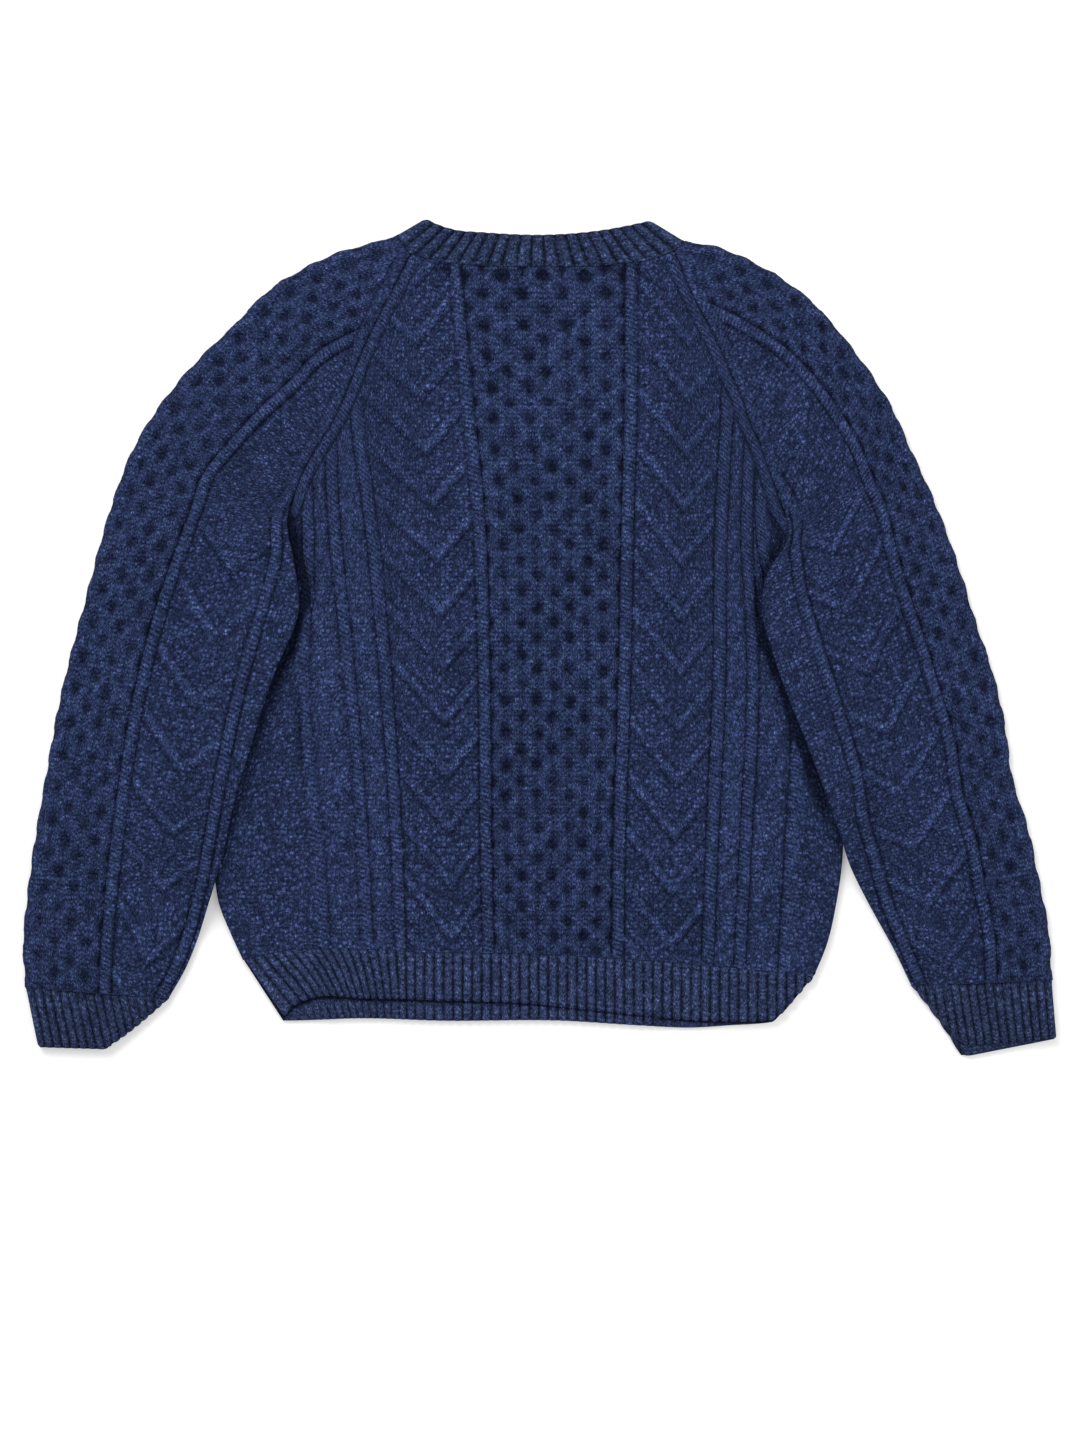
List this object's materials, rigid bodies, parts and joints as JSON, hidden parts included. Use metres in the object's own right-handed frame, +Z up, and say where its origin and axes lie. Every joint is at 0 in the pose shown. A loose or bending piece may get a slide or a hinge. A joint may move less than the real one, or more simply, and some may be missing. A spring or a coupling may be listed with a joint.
{
  "type": "aran sweater",
  "caption": "Navy crew-neck raglan pullover in cable and honeycomb knit with ribbed neckband, hem and cuffs, laid flat face down.",
  "frame": {"origin": "middle of the footprint, on the surface that the pullover lies on", "axes": "+X across the pullover to the right-hand sleeve as it lies, +Y towards the neck, +Z up"},
  "size_m": [0.8707, 0.7051, 0.0243],
  "materials": {
    "cable_knit": "heathered navy wool, matt with a soft nap",
    "rib_knit": "heathered navy wool rib, matt with a soft nap"
  },
  "bodies": {
    "root": {"back_panel": "cable_knit", "front_panel": "cable_knit", "sleeve_left": "cable_knit", "sleeve_right": "cable_knit", "neckband": "rib_knit", "hem_rib_back": "rib_knit", "hem_rib_front": "rib_knit", "cuff_left": "rib_knit", "cuff_right": "rib_knit"}
  },
  "joints": []
}
